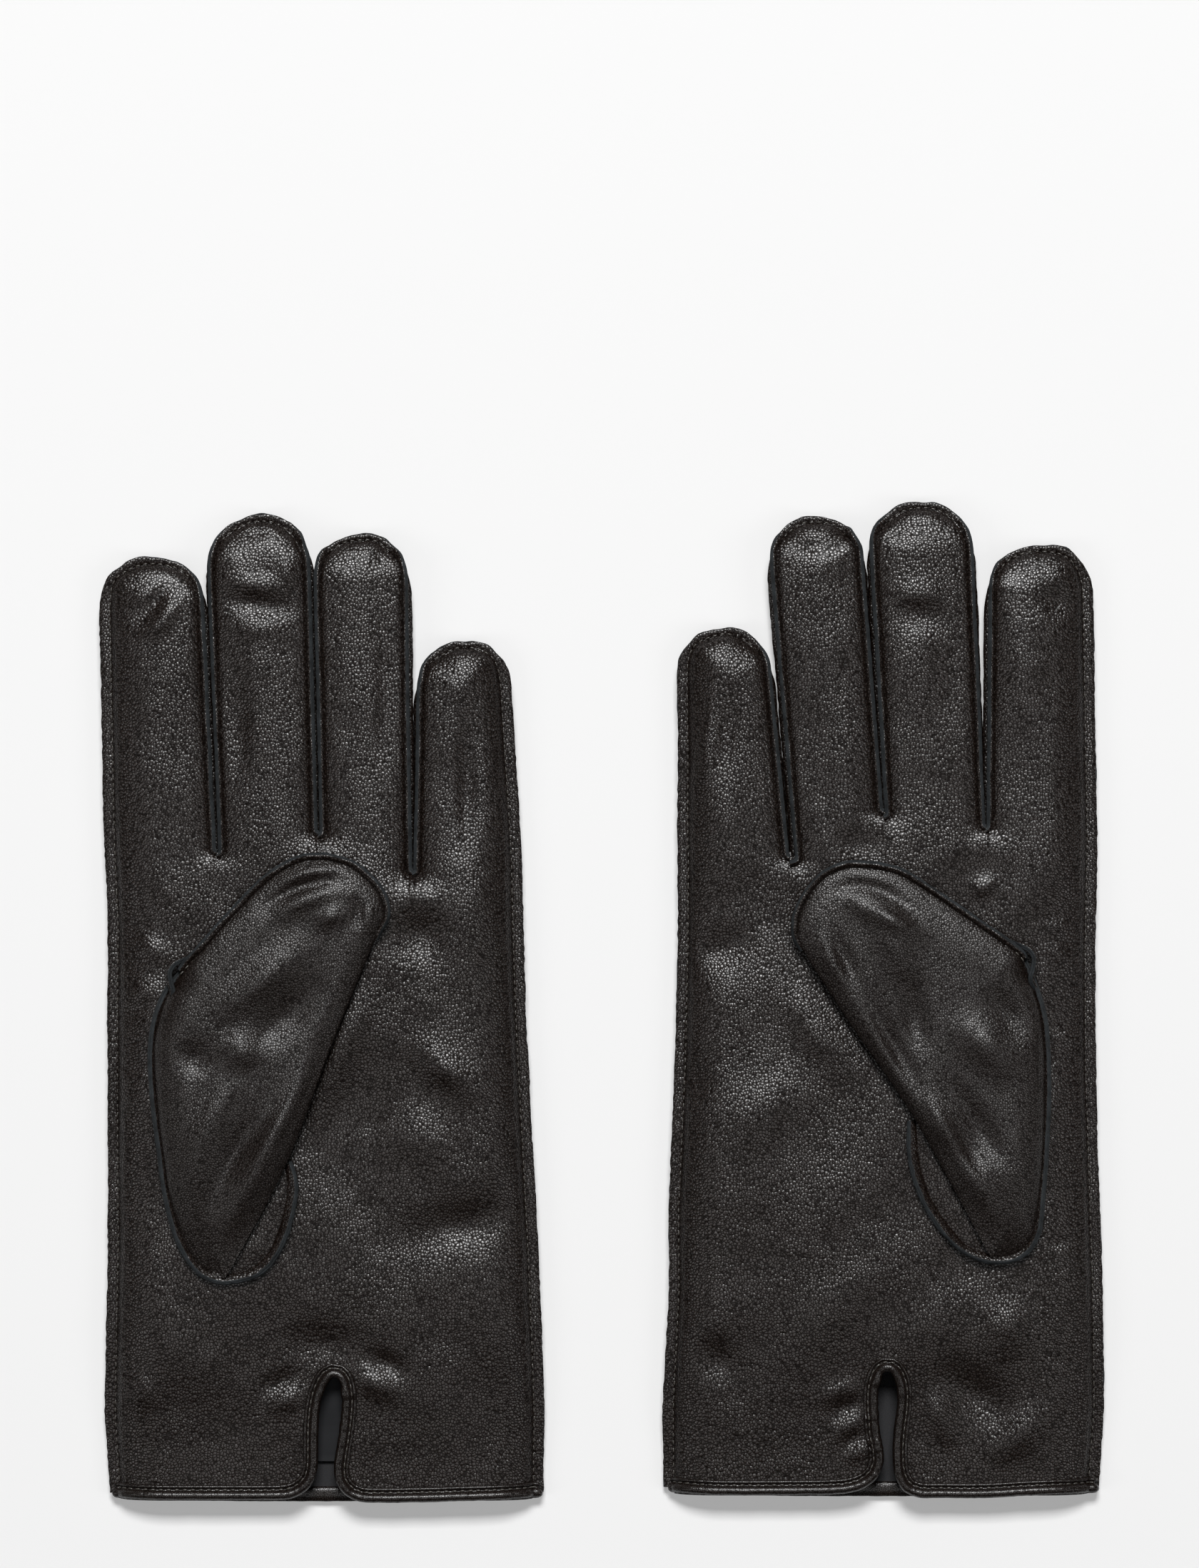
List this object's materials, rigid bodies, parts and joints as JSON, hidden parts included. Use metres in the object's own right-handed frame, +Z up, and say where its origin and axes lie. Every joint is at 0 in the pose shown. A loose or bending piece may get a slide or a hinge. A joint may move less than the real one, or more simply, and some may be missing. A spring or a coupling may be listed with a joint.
{
  "type": "leather gloves",
  "caption": "Pair of black lined leather dress gloves lying palm up, with outseam fingers, sewn-in thumbs folded over the palms, bound cuffs and keyhole vents.",
  "frame": {"origin": "centre of the pair's outline on the surface the gloves lie on", "axes": "+X across the palms from the left glove to the right one, +Y from the cuffs to the fingertips, +Z up from the backs of the gloves to the palms"},
  "size_m": [0.2539, 0.2523, 0.02],
  "materials": {
    "leather": "satin grain",
    "binding": "satin",
    "lining": "brushed knit",
    "thread": "waxed thread",
    "label": "satin weave"
  },
  "bodies": {
    "left_glove": {"left_palm": "leather", "left_back": "leather", "left_lining": "lining", "left_cuff_binding": "binding", "left_cuff_stitches": "thread", "left_thumb_quirk": "leather", "left_thumb_base": "leather", "left_label": "label"},
    "left_thumb": {"left_thumb": "leather", "left_thumb_lining": "lining"},
    "left_index": {"left_index_palm_side": "leather", "left_index_back_side": "leather", "left_index_lining": "lining", "left_index_fourchette_out": "leather"},
    "left_middle": {"left_middle_palm_side": "leather", "left_middle_back_side": "leather", "left_middle_lining": "lining", "left_middle_fourchette_in": "leather", "left_middle_fourchette_out": "leather"},
    "left_ring": {"left_ring_palm_side": "leather", "left_ring_back_side": "leather", "left_ring_lining": "lining", "left_ring_fourchette_in": "leather", "left_ring_fourchette_out": "leather"},
    "left_little": {"left_little_palm_side": "leather", "left_little_back_side": "leather", "left_little_lining": "lining", "left_little_fourchette_in": "leather"},
    "right_glove": {"right_palm": "leather", "right_back": "leather", "right_lining": "lining", "right_cuff_binding": "binding", "right_cuff_stitches": "thread", "right_thumb_quirk": "leather", "right_thumb_base": "leather"},
    "right_thumb": {"right_thumb": "leather", "right_thumb_lining": "lining"},
    "right_index": {"right_index_palm_side": "leather", "right_index_back_side": "leather", "right_index_lining": "lining", "right_index_fourchette_out": "leather"},
    "right_middle": {"right_middle_palm_side": "leather", "right_middle_back_side": "leather", "right_middle_lining": "lining", "right_middle_fourchette_in": "leather", "right_middle_fourchette_out": "leather"},
    "right_ring": {"right_ring_palm_side": "leather", "right_ring_back_side": "leather", "right_ring_lining": "lining", "right_ring_fourchette_in": "leather", "right_ring_fourchette_out": "leather"},
    "right_little": {"right_little_palm_side": "leather", "right_little_back_side": "leather", "right_little_lining": "lining", "right_little_fourchette_in": "leather"}
  },
  "joints": [
    {"name": "left_index_curl", "type": "hinge", "parent": "left_glove", "child": "left_index", "pos_m": [-0.1124, 0.0392, 0.011], "axis": [0.9994, 0.0349, 0], "range_deg": [0, 80]},
    {"name": "left_middle_curl", "type": "hinge", "parent": "left_glove", "child": "left_middle", "pos_m": [-0.0852, 0.044, 0.011], "axis": [0.9995, 0.0332, 0], "range_deg": [0, 80]},
    {"name": "left_ring_curl", "type": "hinge", "parent": "left_glove", "child": "left_ring", "pos_m": [-0.0605, 0.044, 0.011], "axis": [0.9998, 0.0192, 0], "range_deg": [0, 80]},
    {"name": "left_little_curl", "type": "hinge", "parent": "left_glove", "child": "left_little", "pos_m": [-0.0346, 0.0344, 0.011], "axis": [0.9997, 0.0227, 0], "range_deg": [0, 80]},
    {"name": "left_thumb_lift", "type": "hinge", "parent": "left_glove", "child": "left_thumb", "pos_m": [-0.10645, 0.0078, 0.02], "axis": [0.4875, -0.8731, 0], "range_deg": [0, 80]},
    {"name": "right_index_curl", "type": "hinge", "parent": "right_glove", "child": "right_index", "pos_m": [0.1102, 0.0453, 0.011], "axis": [1, 0.0035, 0], "range_deg": [0, 80]},
    {"name": "right_middle_curl", "type": "hinge", "parent": "right_glove", "child": "right_middle", "pos_m": [0.083, 0.0491, 0.011], "axis": [0.9987, 0.0506, 0], "range_deg": [0, 80]},
    {"name": "right_ring_curl", "type": "hinge", "parent": "right_glove", "child": "right_ring", "pos_m": [0.0583, 0.0491, 0.011], "axis": [0.9968, 0.0802, 0], "range_deg": [0, 80]},
    {"name": "right_little_curl", "type": "hinge", "parent": "right_glove", "child": "right_little", "pos_m": [0.0324, 0.0377, 0.011], "axis": [0.9984, 0.0558, 0], "range_deg": [0, 80]},
    {"name": "right_thumb_lift", "type": "hinge", "parent": "right_glove", "child": "right_thumb", "pos_m": [0.10525, 0.0111, 0.02], "axis": [0.5612, 0.8277, 0], "range_deg": [0, 80]},
    {"name": "right_glove_apart", "type": "slide", "parent": "left_glove", "child": "right_glove", "axis": [0, 0, 1], "range_m": [0, 0.12]}
  ]
}
